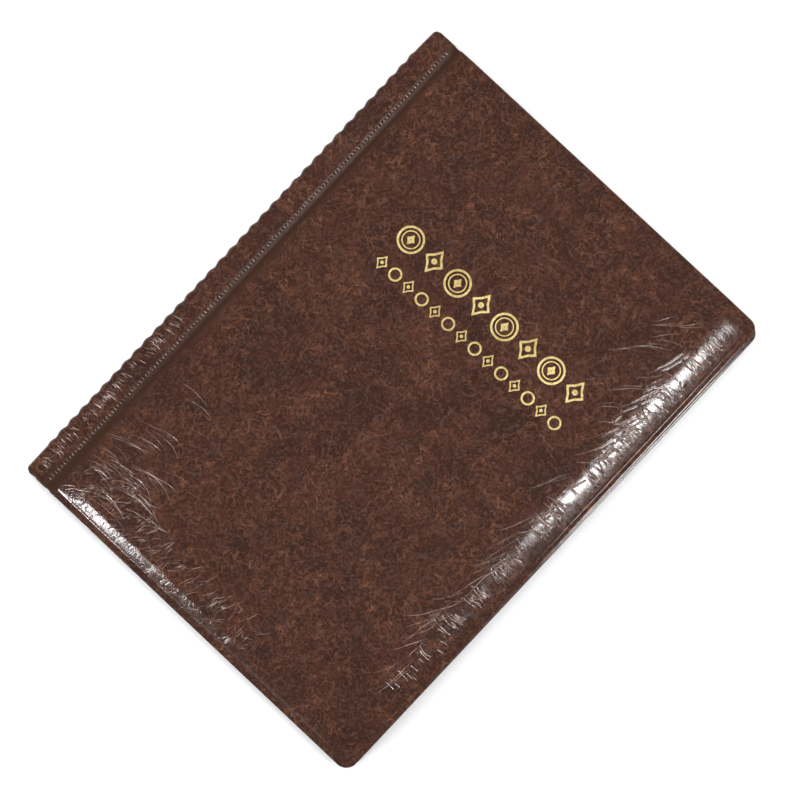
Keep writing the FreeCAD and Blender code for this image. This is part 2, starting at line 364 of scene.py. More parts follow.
def crease_height(s):
    """The pressed creases: a narrow valley with a ridge beside it, and a thin line along the ridge's crest
    that carries a painted highlight.

    The mesh keeps the distance to its creases in mm.
    """
    away = s.split(s.attribute("crease_away", "Vector"))
    share = s.split(s.attribute("crease_share", "Vector"))
    height, crest = 0.0, 0.0
    for distance, strength in zip(away, share):
        valley = s.hump(distance, 0.0, 0.19)
        ridge = s.hump(distance, 0.38, 0.22)
        shape = s.maths("SUBTRACT", s.times(ridge, 0.7), valley)
        height = s.maths("ADD", height, s.times(shape, strength))
        line = s.hump(distance, 0.27, 0.12)
        crest = s.maths("ADD", crest, s.times(line, strength))
    return height, crest


def leatherette_material():
    """Glossy dark brown leatherette with its grain, wrinkles and creases, a painted highlight along the
    crease crests and painted shade in the hinge groove.
    """
    s = Shader("leatherette")
    grain = s.noise(1700.0, detail=4.0, roughness=0.6)
    pores = s.cells(900.0, s.warped(0.001, 900.0))
    fine = s.bump(grain, 0.02 * MM, 0.18)
    fine = s.bump(pores, 0.04 * MM, 0.14, fine)
    across_fore = s.warped(0.006, 120.0, (0.22, 1.0, 1.0))
    across_tail = s.warped(0.008, 120.0, (1.0, 0.35, 1.0), 0.35)
    fore = strands(s, 260.0, across_fore, 0.030)
    fine_tail = s.times(strands(s, 480.0, across_tail, 0.05), 0.4)
    tail = s.maths("ADD", strands(s, 230.0, across_tail, 0.030), fine_tail)
    fore = s.times(fore, s.attribute("fore_wrinkles"))
    tail = s.times(tail, s.attribute("tail_wrinkles"))
    wrinkles = s.maths("SUBTRACT", 0.0, s.maths("ADD", s.times(fore, 0.35), tail))
    fine = s.bump(wrinkles, 0.030 * MM, 1.0, fine)
    creases, crest = crease_height(s)
    normal = s.bump(creases, 0.13 * MM, 1.0, fine)
    broken = s.spread(s.noise(240.0, detail=3.0), 0.36, 0.56, 0.35, 1.0)
    # Painted highlight: a pale colour along the crease crests, broken up by noise, stands in for the glints
    # of the creases.
    wear_and_highlight = s.times(s.spread(crest, 0.04, 0.60, 0.0, 0.90), broken)
    colour = s.mix(wear_and_highlight, leather_colour(s), (0.50, 0.38, 0.34))
    # Painted shade: the colour is darkened along the hinge groove, about 3 mm either side of it, where the
    # groove lies in shade; the same mask also makes it rougher and less shiny.
    channel = s.hump(s.split(s.place())[0], GROOVE_X + 0.3 * MM, 3.0 * MM)
    colour = s.mix(s.times(channel, 0.9), colour, (0.036, 0.0130, 0.0062))
    gloss = s.spread(s.noise(260.0, detail=4.0), 0.3, 0.7, 0.10, 0.17)
    gloss = s.maths("ADD", gloss, s.times(channel, 0.30))
    shine = s.spread(channel, 0.0, 1.0, 0.80, 0.20)
    return s.finish(Base_Color=colour, Roughness=gloss, Normal=normal, Specular_IOR_Level=shine)


def polished_material():
    """Leatherette pressed smooth by the welding bar."""
    s = Shader("welded_leatherette")
    colour = leather_colour(s)
    fine = s.bump(s.noise(1200.0, detail=2.0), 0.02 * MM, 0.5)
    return s.finish(Base_Color=colour, Roughness=0.26, Normal=fine, Specular_IOR_Level=0.9)


def foil_material():
    s = Shader("gold_foil")
    wear_and_highlight = s.noise(700.0, detail=5.0, roughness=0.7)
    drift = s.spread(s.noise(40.0, detail=2.0), 0.35, 0.65)
    tone = s.mix(s.spread(wear_and_highlight, 0.35, 0.65), (0.72, 0.50, 0.15), (1.0, 0.88, 0.44))
    tone = s.mix(s.times(drift, 0.45), tone, (0.40, 0.25, 0.06))
    grain = s.bump(s.noise(1400.0, detail=4.0), 0.05 * MM, 0.6)
    rough = s.spread(wear_and_highlight, 0.3, 0.7, 0.24, 0.40)
    return s.finish(Base_Color=tone, Roughness=rough, Normal=grain, Metallic=0.45)


def foam_material():
    s = Shader("foam")
    pores = s.cells(1300.0, feature="F1")
    tone = s.mix(s.spread(pores, 0.1, 0.6), (0.50, 0.47, 0.40), (0.80, 0.78, 0.70))
    return s.finish(Base_Color=tone, Roughness=0.95, Normal=s.bump(pores, 0.3 * MM, 0.7))


def board_material():
    s = Shader("grey_board")
    fibres = s.noise(600.0, s.place((0.2, 1.0, 1.0)), detail=7.0, roughness=0.75)
    tone = s.mix(fibres, (0.30, 0.26, 0.21), (0.48, 0.43, 0.36))
    return s.finish(Base_Color=tone, Roughness=0.9, Normal=s.bump(fibres, 0.1 * MM, 0.5))


def lining_material():
    s = Shader("lining")
    grain = s.cells(1500.0, s.warped(0.0008, 1200.0))
    mottle = s.noise(60.0, detail=5.0)
    tone = s.mix(mottle, (0.030, 0.015, 0.011), (0.050, 0.024, 0.016))
    rough = s.spread(mottle, 0.3, 0.7, 0.42, 0.55)
    return s.finish(Base_Color=tone, Roughness=rough, Normal=s.bump(grain, 0.08 * MM, 0.5))


def guard_material():
    s = Shader("guard_strip")
    fibres = s.noise(700.0, s.place((1.0, 0.15, 1.0)), detail=6.0)
    tone = s.mix(fibres, (0.020, 0.012, 0.009), (0.045, 0.024, 0.017))
    return s.finish(Base_Color=tone, Roughness=0.8, Normal=s.bump(fibres, 0.08 * MM, 0.5))


def film_material(name, tint, alpha, roughness):
    s = Shader(name)
    haze = s.noise(22.0, detail=3.0)
    tone = s.mix(haze, tint, tuple(1.25 * part for part in tint))
    ripple = s.bump(s.noise(16.0, detail=1.0), 1.2 * MM, 0.30)
    rough = s.spread(haze, 0.3, 0.7, roughness * 0.8, roughness * 1.4)
    return s.finish(Base_Color=tone, Roughness=rough, Normal=ripple, Alpha=alpha)


def seal_material():
    s = Shader("welded_seal")
    knurl = s.cells(1400.0)
    tone = s.mix(s.spread(knurl, 0.0, 0.4), (0.34, 0.39, 0.42), (0.52, 0.57, 0.60))
    return s.finish(Base_Color=tone, Roughness=0.35, Normal=s.bump(knurl, 0.08 * MM, 0.6), Alpha=0.40)


# ---- mesh helpers

def waves(x, y, size, seed):
    """Smooth bumps between -1 and 1, about `size` across."""
    cells = 64
    table = np.random.default_rng(seed).uniform(-1, 1, (cells, cells))
    u, v = x / size + cells / 2, y / size + cells / 2
    i, j = np.floor(u).astype(int), np.floor(v).astype(int)
    fu, fv = u - i, v - j
    fu, fv = fu * fu * (3 - 2 * fu), fv * fv * (3 - 2 * fv)
    i0, j0, i1, j1 = i % cells, j % cells, (i + 1) % cells, (j + 1) % cells
    low = table[i0, j0] * (1 - fu) + table[i1, j0] * fu
    high = table[i0, j1] * (1 - fu) + table[i1, j1] * fu
    return low * (1 - fv) + high * fv


def spaced(start, end, band, fine, coarse):
    """Places from start to end, closer together within a band of each end."""
    near = np.arange(0.0, band, fine)
    middle = np.linspace(band, end - start - band, max(2, round((end - start - 2 * band) / coarse)))
    far = end - start - near[::-1]
    return start + np.concatenate([near, middle, far])


def grid_quads(across, along, first=0):
    """The faces of a grid of points, numbered along its second way first."""
    i, j = np.meshgrid(np.arange(across - 1), np.arange(along - 1), indexing="ij")
    a = (first + i * along + j).ravel()
    return np.stack([a, a + along, a + along + 1, a + 1], axis=1)


def joined(grids):
    """Several grids of points as one set of points and faces."""
    points, faces, first = [], [], 0
    for grid in grids:
        n, m = grid.shape[:2]
        points.append(grid.reshape(-1, 3))
        faces.append(grid_quads(n, m, first))
        first += n * m
    return np.concatenate(points), np.concatenate(faces)


def ring_quads(rings, count, first=0):
    """The faces between closed rings of count points each."""
    i, j = np.meshgrid(np.arange(rings - 1), np.arange(count), indexing="ij")
    a, b = first + i * count + j, first + i * count + (j + 1) % count
    return np.stack([a, a + count, b + count, b], axis=-1).reshape(-1, 4)


def make_piece(name, points, quads, material, body=None, replaces=()):
    """A mesh object from arrays of points and faces, with its material and body; it hides the CAD nodes it
    replaces.
    """
    mesh = bpy.data.meshes.new(name)
    mesh.from_pydata(points.reshape(-1, 3).tolist(), [], quads.tolist())
    mesh.polygons.foreach_set("use_smooth", [True] * len(mesh.polygons))
    mesh.update()
    piece = bpy.data.objects.new(name, mesh)
    bpy.context.collection.objects.link(piece)
    mesh.materials.append(material)
    if body:
        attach(piece, body)
    if replaces:
        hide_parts(*replaces)
    return piece


def normals_of(grid):
    """Unit normals of a grid of points, from its neighbours."""
    across, along = np.gradient(grid, axis=0), np.gradient(grid, axis=1)
    normal = np.cross(across, along)
    return normal / np.maximum(np.linalg.norm(normal, axis=2, keepdims=True), 1e-12)


def shell(grid, thickness):
    """A closed sheet: the grid's outer face, an inner face behind it, and the walls between."""
    return closed(grid, grid - normals_of(grid) * thickness)


def closed(outer, inner):
    """Two grids of the same shape as a closed solid: both faces, and the walls round their edges."""
    n, m = outer.shape[:2]
    points = np.concatenate([outer.reshape(-1, 3), inner.reshape(-1, 3)])
    numbers = np.arange(n * m).reshape(n, m)
    loop = np.concatenate([numbers[:-1, 0], numbers[-1, :-1], numbers[:0:-1, -1], numbers[0, :0:-1]])
    ahead = np.roll(loop, -1)
    walls = np.stack([ahead, loop, loop + n * m, ahead + n * m], axis=1)
    return points, np.concatenate([grid_quads(n, m), grid_quads(n, m, n * m)[:, ::-1], walls])


def turned_over(points, faces):
    """A shape on the front cover's side, carried to the back cover's side."""
    over = points.copy()
    over[..., 2] = FRONT_TOP - over[..., 2]
    return over, faces[:, ::-1]


# ---- the padded panels

def roll(distance, width):
    """The padding's rise, from 0 to 1, at this distance from its foot: steepest at the foot."""
    return np.sin(np.clip(distance / width, 0, 1) * math.pi / 2)


def swell(distance, width):
    """The same, but it starts and ends level."""
    t = np.clip(distance / width, 0, 1)
    return t * t * (3 - 2 * t)


def bell(away, width):
    """A smooth hump, from the distance to its middle."""
    return np.exp(-((away / width) ** 2))


def round_off(x, y, corner_x, corner_y, radius, toward_y):
    """Bends the square corner patch of a grid into a quarter disc, and leaves the rest alone."""
    u = (x - corner_x) / radius
    v = (y - corner_y) / radius * toward_y
    inside = (u > 0) & (v > 0)
    reach = np.where(inside, np.maximum(u, v), 1.0)
    small, large = np.minimum(u, v), np.maximum(np.maximum(u, v), 1e-9)
    angle = math.pi / 4 * small / large
    angle = np.where(u >= v, angle, math.pi / 2 - angle)
    new_x = corner_x + reach * radius * np.cos(angle)
    new_y = corner_y + reach * radius * np.sin(angle) * toward_y
    return np.where(inside, new_x, x), np.where(inside, new_y, y)


def crease_paths(seed, count, box, angle, spread, length, bend, bundle=1):
    """Random short curved lines, some side by side in bundles, as (points, depth) pairs.

    box is (low x, high x, low y, high y) of the starts, and angles are in degrees.
    """
    random = np.random.default_rng(seed)
    steps = 10
    paths = []
    for _ in range(count):
        x, y = random.uniform(box[0], box[1]), random.uniform(box[2], box[3])
        heading = math.radians(angle + random.uniform(-spread, spread))
        turn = math.radians(bend + random.uniform(-12, 12))
        run = random.uniform(*length)
        depth = random.uniform(0.45, 1.0)
        for number in range(random.integers(1, bundle + 1)):
            aside = number * random.uniform(0.9, 1.9) * MM
            ahead = random.uniform(-0.2, 0.2) * run
            px = x - aside * math.sin(heading) + ahead * math.cos(heading)
            py = y + aside * math.cos(heading) + ahead * math.sin(heading)
            aim, reach = heading, run * random.uniform(0.6, 1.0)
            path = [(px, py)]
            for _ in range(steps):
                aim += turn / steps + math.radians(random.uniform(-6, 6))
                px += reach / steps * math.cos(aim)
                py += reach / steps * math.sin(aim)
                path.append((px, py))
            paths.append((np.array(path), depth * random.uniform(0.6, 1.0)))
    return paths


def near_path(x, y, path, reach):
    """A mask of the points within reach of a path, their distance to its left, and how far along."""
    near = (x > path[:, 0].min() - reach) & (x < path[:, 0].max() + reach)
    near &= (y > path[:, 1].min() - reach) & (y < path[:, 1].max() + reach)
    px, py = x[near], y[near]
    best, along, side = np.full(px.shape, np.inf), np.zeros(px.shape), np.ones(px.shape)
    steps = len(path) - 1
    for k in range(steps):
        ax, ay = path[k]
        dx, dy = path[k + 1] - path[k]
        t = np.clip(((px - ax) * dx + (py - ay) * dy) / (dx * dx + dy * dy), 0, 1)
        offx, offy = px - ax - t * dx, py - ay - t * dy
        far = np.hypot(offx, offy)
        closer = far < best
        best = np.where(closer, far, best)
        along = np.where(closer, (k + t) / steps, along)
        side = np.where(closer, np.sign(dx * (py - ay) - dy * (px - ax)), side)
    return near, best * side, along


def press_folds(x, y, z, families):
    """Lowers the surface softly along each crease."""
    width = 1.1 * MM
    beside = 1.7 * MM
    for paths, _, fold in families:
        for path, share in paths:
            near, away, along = near_path(x, y, path, 4 * MM)
            taper = np.sin(along * math.pi)
            valley = bell(away, width)
            ridge = bell(away - beside, width)
            z[near] += fold * share * taper * (0.6 * ridge - valley)


def crease_attributes(x, y, families):
    """The distance in mm to the nearest crease, and its depth.

    They are kept in three layers, so that neighbouring creases don't mix.
    """
    reach = 2.6 * MM
    away = np.full((*x.shape, 3), reach / MM)
    share = np.zeros((*x.shape, 3))
    for paths, depth, _ in families:
        for path, strength in paths:
            near, distance, along = near_path(x, y, path, reach)
            layer = int(np.argmin(share[near].sum(axis=0)))
            old = away[near, layer]
            closer = np.abs(distance) < np.minimum(np.abs(old) * MM, reach)
            fade = np.clip(2 - 2 * np.abs(distance) / reach, 0, 1)
            away[near, layer] = np.where(closer, distance / MM, old)
            value = depth * strength * np.sin(along * math.pi) ** 0.6 * fade
            share[near, layer] = np.where(closer, value, share[near, layer])
    return away, share


def front_creases():
    """The front cover's creases, as families of (paths, crease depth, soft fold depth)."""
    start_x = GROOVE_END_X + 1.0 * MM
    fore_x = FRONT_HIGH[0]
    fan = crease_paths(3, 26, (start_x, start_x + 26 * MM, -120 * MM, -50 * MM), 30, 8,
                       (0.014, 0.034), -42, 2)
    corner = crease_paths(11, 18, (start_x, start_x + 38 * MM, -122 * MM, -100 * MM), 36, 14,
                          (0.008, 0.020), -34, 2)
    tail = crease_paths(4, 120, (start_x, 26 * MM, -125 * MM, -112 * MM), 66, 26, (0.003, 0.010), -12)
    hatch = crease_paths(5, 120, (fore_x - 9 * MM, fore_x - 5 * MM, -92 * MM, 118 * MM), 180, 12,
                         (0.004, 0.010), 0)
    side = crease_paths(12, 46, (fore_x - 18 * MM, fore_x - 11 * MM, -80 * MM, 100 * MM), -102, 10,
                        (0.008, 0.026), -14, 2)
    slant = crease_paths(6, 13, (fore_x - 42 * MM, fore_x - 16 * MM, 50 * MM, 108 * MM), 54, 9,
                         (0.010, 0.024), -22, 2)
    field = crease_paths(8, 16, (-70 * MM, 60 * MM, -95 * MM, 118 * MM), 128, 40, (0.008, 0.022), 10)
    return (
        (fan, 0.62, 0.035 * MM),
        (corner, 0.62, 0.03 * MM),
        (tail, 0.70, 0.02 * MM),
        (hatch, 0.85, 0.004 * MM),
        (side, 0.75, 0.006 * MM),
        (slant, 0.65, 0.018 * MM),
        (field, 0.3, 0.01 * MM),
    )


def back_creases():
    """The back cover's creases, as families of (paths, crease depth, soft fold depth)."""
    fore_x = BACK_HIGH[0]
    edge = crease_paths(13, 60, (fore_x - 12 * MM, fore_x - 5 * MM, -110 * MM, 110 * MM), 180, 14,
                        (0.004, 0.012), 0)
    field = crease_paths(14, 30, (-75 * MM, 80 * MM, -110 * MM, 110 * MM), 20, 60, (0.008, 0.024), 20)
    return ((edge, 0.7, 0.02 * MM), (field, 0.4, 0.01 * MM))


def strip_creases(front):
    """Short wrinkles across the strip, near the spine's tail end."""
    high = -34 * MM if front else 20 * MM
    start = SPINE_X + 3 * MM
    paths = crease_paths(42, 78, (start - 1 * MM, start + 2 * MM, -127 * MM, high), 20, 12,
                         (0.003, 0.0065), -14)
    return ((paths, 1.0, 0.005 * MM),)


def sink(y):
    """How far the groove sinks at the album's head and tail."""
    return 0.55 * MM * swell(np.abs(y) - 0.1255, 4.5 * MM)


class Panel:
    """One padded cover's outer face as a grid, for the front; the back's is turned over."""

    def __init__(self, fore_x, fine, coarse, front):
        band = 4.0 * MM
        self.xs = spaced(GROOVE_END_X, fore_x, band, fine, coarse)
        self.ys = spaced(-HEAD_Y, HEAD_Y, band, fine, coarse)
        x, y = np.meshgrid(self.xs, self.ys, indexing="ij")
        self.groove = x - GROOVE_END_X
        self.fore, self.head, self.tail = fore_x - x, HEAD_Y - y, y + HEAD_Y
        self.front = front
        self.z = self.height(x, y)
        for toward_y in (1, -1):
            corner_y = toward_y * (HEAD_Y - CORNER)
            x, y = round_off(x, y, fore_x - CORNER, corner_y, CORNER, toward_y)
        if front:
            share = (x - GROOVE_END_X) / (fore_x - GROOVE_END_X)
            x = x - FORE_SLANT * share * (y / HEAD_Y + 0.3)
        self.x, self.y = x, y

    def padding(self):
        """The padding's rise, from 0 at the border to 1 on top."""
        rise = roll(self.fore - BORDER_FORE, ROLL_FORE)
        rise = rise * (GROOVE_LIP + (1 - GROOVE_LIP) * swell(self.groove, ROLL_GROOVE))
        rise = rise * (HEAD_LIP + (1 - HEAD_LIP) * swell(self.head, ROLL_HEAD))
        return rise * roll(self.tail - BORDER_TAIL, ROLL_TAIL)

    def height(self, x, y):
        rise = self.padding()
        z = BORDER_TOP + (PAD_RISE if self.front else FRONT_TOP - BORDER_TOP) * rise
        bead = np.minimum(self.tail, self.fore)
        z += 0.16 * MM * bell(bead - 0.7 * MM, 0.45 * MM)
        foot = np.minimum(self.tail - BORDER_TAIL, self.fore - BORDER_FORE)
        z -= 0.20 * MM * bell(foot + 0.3 * MM, 0.55 * MM)
        end_z = HINGE_Z - math.sqrt(GROOVE**2 - (GROOVE_END_X - GROOVE_X) ** 2)
        if self.front:
            z += CROWN * rise * (1 - (x / 0.1) ** 2) * (1 - (y / 0.14) ** 2)
            z += rise * (0.10 * MM * waves(x, y, 38 * MM, 21) + 0.045 * MM * waves(x, y, 15 * MM, 22))
            z += self.puckers(x, y, rise)
        else:
            z += rise * (0.03 * MM * waves(x, y, 30 * MM, 31) - 0.03 * MM)
        z += (end_z - sink(y) - z) * bell(self.groove, 0.9 * MM)
        families = front_creases() if self.front else back_creases()
        press_folds(x, y, z, families)
        self.creases = crease_attributes(x, y, families)
        self.wrinkles = self.wrinkle_shares(x, y)
        if self.front:
            return z
        return np.minimum(z, FRONT_TOP)

    def puckers(self, x, y, rise):
        """Shallow folds that run in from the fore and tail welds and die out."""
        fore_fade = bell(self.fore - 7 * MM, 8 * MM)
        tail_fade = bell(self.tail - 7 * MM, 7 * MM)
        fore_wave = waves(x * 0.25, y, 3.4 * MM, 23)
        tail_wave = waves(x, y * 0.25, 4.6 * MM, 24)
        folds = 0.010 * fore_fade * fore_wave + 0.035 * tail_fade * tail_wave
        return folds * MM * np.sin(rise * math.pi) ** 0.5

    def wrinkle_shares(self, x, y):
        """Where the fine wrinkles show: along the fore and tail welds, and at the spine's tail corner."""
        fore = bell(self.fore - 9 * MM, 8 * MM) * np.clip((y + 0.105) / 0.05, 0.15, 1)
        tail = bell(self.tail - 7 * MM, 11 * MM) * np.clip((0.06 - x) / 0.09, 0.15, 1)
        corner = bell(self.groove, 30 * MM) * bell(self.tail, 60 * MM)
        return fore, np.maximum(tail, 0.7 * corner)

    def surface(self, x, y):
        """The height of the face at points well inside the border."""
        i = np.clip(np.searchsorted(self.xs, x) - 1, 0, len(self.xs) - 2)
        j = np.clip(np.searchsorted(self.ys, y) - 1, 0, len(self.ys) - 2)
        u = (x - self.xs[i]) / (self.xs[i + 1] - self.xs[i])
        v = (y - self.ys[j]) / (self.ys[j + 1] - self.ys[j])
        low = self.z[i, j] * (1 - u) + self.z[i + 1, j] * u
        high = self.z[i, j + 1] * (1 - u) + self.z[i + 1, j + 1] * u
        return low * (1 - v) + high * v

    def mesh(self):
        """The face, with its border turned down and under round the three free edges."""
        n, m = self.x.shape
        grid = np.stack([self.x, self.y, self.z], axis=2)
        numbers = np.arange(n * m).reshape(n, m)
        loop = np.concatenate([numbers[:-1, 0], numbers[-1, :-1], numbers[::-1, -1]])
        points = grid.reshape(-1, 3)
        rim = points[loop]
        step = np.gradient(rim[:, :2], axis=0)
        outward = np.stack([step[:, 1], -step[:, 0]], axis=1)
        outward /= np.linalg.norm(outward, axis=1, keepdims=True)
        turned = (
            (0.12, -0.05), (0.20, -0.18), (0.22, -0.34), (0.16, -0.50),
            (0.0, -0.60), (-0.9, -0.60), (-2.4, -0.60),
        )
        layers, faces = [points], [grid_quads(n, m)]
        before = loop
        for count, (out, drop) in enumerate(turned):
            layer = rim.copy()
            layer[:, :2] += outward * out * MM
            layer[:, 2] = rim[:, 2] + np.maximum(drop / 0.6, -1.0) * (rim[:, 2] - FRONT_UNDER)
            layers.append(layer)
            now = n * m + count * len(loop) + np.arange(len(loop))
            faces.append(np.stack([before[:-1], now[:-1], now[1:], before[1:]], axis=1))
            before = now
        return np.concatenate(layers), np.concatenate(faces)


def dress(piece, count, creases, wrinkles):
    """Gives a leatherette mesh the attributes its material reads; points past count get none."""
    rows = (
        ("crease_away", creases[0], "FLOAT_VECTOR", "vector", 3),
        ("crease_share", creases[1], "FLOAT_VECTOR", "vector", 3),
        ("fore_wrinkles", wrinkles[0], "FLOAT", "value", 1),
        ("tail_wrinkles", wrinkles[1], "FLOAT", "value", 1),
    )
    for name, values, kind, field, width in rows:
        flat = np.zeros(count * width, np.float32)
        flat[:values.size] = values.ravel()
        layer = piece.data.attributes.new(name, kind, "POINT")
        layer.data.foreach_set(field, flat)


def make_panel(panel, material):
    """A cover's leatherette, from the panel's grid."""
    side = "front" if panel.front else "back"
    points, faces = panel.mesh()
    if not panel.front:
        points, faces = turned_over(points, faces)
    piece = make_piece(f"{side}_cover_leatherette", points, faces, material, f"{side}_cover",
                       [f"{side}_cover_skin"])
    dress(piece, len(points), panel.creases, panel.wrinkles)


def make_padding(name, panel, material, body, node, over):
    """The foam under a skin: a closed pad that follows the skin's face."""
    keep = slice(None, None, 3)
    grid = np.stack([panel.x, panel.y, panel.z - SKIN], axis=2)[keep, keep]
    inset = np.minimum(np.minimum(panel.head, panel.tail), np.minimum(panel.fore, panel.groove + 2 * MM))
    inset = inset[keep, keep]
    grid[..., 2] = np.maximum(grid[..., 2], FRONT_UNDER + 0.02 * MM)
    grid[..., 2] = np.where(inset < 3.2 * MM, FRONT_UNDER + 0.02 * MM, grid[..., 2])
    centre = np.array([(GROOVE_END_X + panel.xs[-1]) / 2, 0.0])
    grid[..., :2] = centre + (grid[..., :2] - centre) * (1 - 3.0 * MM / 0.09)
    under = grid.copy()
    under[..., 2] = FRONT_UNDER + 0.01 * MM
    points, faces = closed(grid, under)
    if over:
        points, faces = turned_over(points, faces)
    piece = make_piece(name, points, faces, material, body, [node])


# ---- the spine

def spine_edge(y):
    """How far in from the spine edge the leatherette's outer wall stands."""
    wave = 0.5 - 0.5 * np.cos((y + SCALLOPED) / SCALLOP_PITCH * 2 * math.pi)
    scallop = SCALLOP_DEPTH * (1 - np.abs(wave) ** 0.8)
    fade = np.clip((SCALLOPED - np.abs(y)) / (3 * MM), 0, 1)
    flat = 0.42 * MM + 0.5 * MM * np.clip((y - 0.112) / 0.018, 0, 1) ** 2
    edge = scallop * fade + flat * (1 - fade)
    corner = 2.2 * MM
    past = np.clip(np.abs(y) - (HEAD_Y - corner), 0, corner)
    return edge + corner - np.sqrt(np.maximum(corner**2 - past**2, 0))


def strip_profile():
    """The cross-section from the middle of the spine's wall, over the strip, to the end of the weld.

    Each point is (x, z, how much it follows the scalloped edge).
    """
    points = [(SPINE_X, MIDDLE_Z + (STRIP_Z - SPINE_ROLL - MIDDLE_Z) * t, 1.0) for t in np.linspace(0, 1, 7)]
    for angle in np.linspace(0, math.pi / 2, 9)[1:]:
        x = SPINE_X + SPINE_ROLL * (1 - math.cos(angle))
        follow = 1.0 - 0.25 * angle / (math.pi / 2)
        points.append((x, STRIP_Z - SPINE_ROLL * (1 - math.sin(angle)), follow))
    flat_end = WELD_LOW[0] - 0.3 * MM
    for t in np.linspace(0, 1, 14)[1:]:
        x = SPINE_X + SPINE_ROLL + (flat_end - SPINE_X - SPINE_ROLL) * t
        points.append((x, STRIP_Z - 0.16 * MM * math.sin(t * math.pi), 0.75 * (1 - t) ** 2))
    for t in np.linspace(0, 1, 6)[1:]:
        x = flat_end + (GROOVE_START_X - flat_end) * t
        points.append((x, STRIP_Z - WELD_DIP * math.sin(min(1, 2 * t) * math.pi / 2), 0.0))
    return np.array(points)


def strip_half(front):
    """The leatherette from the middle of the spine's wall to the weld: its points and creases."""
    profile = strip_profile()
    ys = np.linspace(-HEAD_Y, HEAD_Y, 400)
    edge = spine_edge(ys)
    x = profile[:, None, 0] + profile[:, None, 2] * edge[None, :]
    y = np.broadcast_to(ys, x.shape).copy()
    z = np.broadcast_to(profile[:, None, 1], x.shape).copy()
    top = np.clip((z - (STRIP_Z - 1.2 * MM)) / (0.8 * MM), 0, 1)
    past_edge = np.clip((x - SPINE_X - 1.5 * MM) / (2 * MM), 0, 1)
    between = past_edge * np.clip((WELD_LOW[0] - x) / (1.5 * MM), 0, 1)
    z += top * between * 0.06 * MM * waves(x, y, 7 * MM, 41 if front else 43)
    families = strip_creases(front)
    press_folds(x, y, z, families)
    away, share = crease_attributes(x, y, families)
    share *= (top * between)[..., None]
    if not front:
        z = np.maximum(STRIP_Z - z, 0.0)
    return np.stack([x, y, z], axis=2), away, share


def make_spine_skin(material):
    """The leatherette folded round the spine, from the weld on the back to the weld on the front."""
    front, back = strip_half(True), strip_half(False)
    grid, away, share = (np.concatenate([b[::-1], f[1:]]) for f, b in zip(front, back))
    points, faces = shell(grid, FOLDED_SKIN)
    piece = make_piece("spine_leatherette", points, faces, material, "spine", ["spine_wrap"])
    wrinkles = 0.15 * np.clip((-grid[..., 1] - 0.02) / 0.08, 0, 1)
    dress(piece, len(points), (away, share), (wrinkles, wrinkles))


def make_groove_skins(material):
    """The leatherette in the grooves, where the real skin bends as the covers open; here it keeps the closed
    shape.
    """
    sides = (
        ("front", HINGE_Z, GROOVE, STRIP_Z - WELD_DIP),
        ("back", FRONT_TOP + BACK_HINGE_OUT, BACK_GROOVE, FRONT_TOP - WELD_DIP),
    )
    for side, hinge_z, groove, floor_z in sides:
        profile = [
            (GROOVE_START_X - 0.5 * MM, floor_z - 0.08 * MM),
            (GROOVE_START_X - 0.1 * MM, floor_z - 0.04 * MM),
        ]
        half = (GROOVE_END_X - GROOVE_START_X) / 2
        start_angle = math.asin(half / groove)
        for angle in np.linspace(-start_angle, start_angle, 17)[1:]:
            x = GROOVE_X + groove * math.sin(angle)
            brim = floor_z - 0.46 * (x - GROOVE_START_X)
            z = hinge_z - groove * math.cos(angle)
            profile.append((x, min(z, brim) if x < GROOVE_X else z))
        profile = np.array(profile)
        ys = np.linspace(-HEAD_Y + 0.1 * MM, HEAD_Y - 0.1 * MM, 260)
        x = np.broadcast_to(profile[:, None, 0], (len(profile), len(ys)))
        y = np.broadcast_to(ys, x.shape)
        z = profile[:, None, 1] + 0.03 * MM * waves(x, y, 3 * MM, 44)
        z = z - sink(y) * np.clip((x - GROOVE_START_X) / (1 * MM), 0, 1)
        points, faces = shell(np.stack([x, y, z], axis=2), FOLDED_SKIN)
        if side == "back":
            points, faces = turned_over(points, faces)
        piece = make_piece(f"{side}_groove_leatherette", points, faces, material, None,
                           [f"{side}_hinge_skin"])
        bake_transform(piece)


def make_weld_ribs(material):
    """The knurled ribs of the weld: rounded bars across it, on the front and the back."""
    uu, vv = np.meshgrid(np.linspace(-1, 1, 9), np.linspace(-1, 1, 7), indexing="ij")
    bar_x = np.sin(uu * math.pi / 2) * RIB_LENGTH / 2
    bar_y = np.sin(vv * math.pi / 2) * RIB_WIDTH / 2 * np.sqrt(1 - 0.75 * uu**4)
    bar_z = RIB_HEIGHT * np.sqrt(np.clip(1 - uu**6, 0, 1)) * (1 - np.abs(np.sin(vv * math.pi / 2)) ** 1.4)
    count = int(2 * RIBS_END / RIB_PITCH)
    middle_x = (WELD_LOW[0] + WELD_HIGH[0]) / 2
    base_z = STRIP_Z - WELD_DIP - 0.05 * MM
    random = np.random.default_rng(51)
    bars = []
    for number in range(count):
        y = (number - (count - 1) / 2) * RIB_PITCH
        shift = random.uniform(-0.08, 0.08) * MM
        tall = random.uniform(0.85, 1.1)
        bars.append(np.stack([middle_x + shift + bar_x, y + bar_y, base_z + bar_z * tall], axis=2))
    points, faces = joined(bars)
    make_piece("front_weld_ribs", points, faces, material, "spine")
    under = points.copy()
    under[:, 2] = np.maximum(STRIP_Z - points[:, 2], 0.02 * MM)
    make_piece("back_weld_ribs", under, faces[:, ::-1], material, "spine")


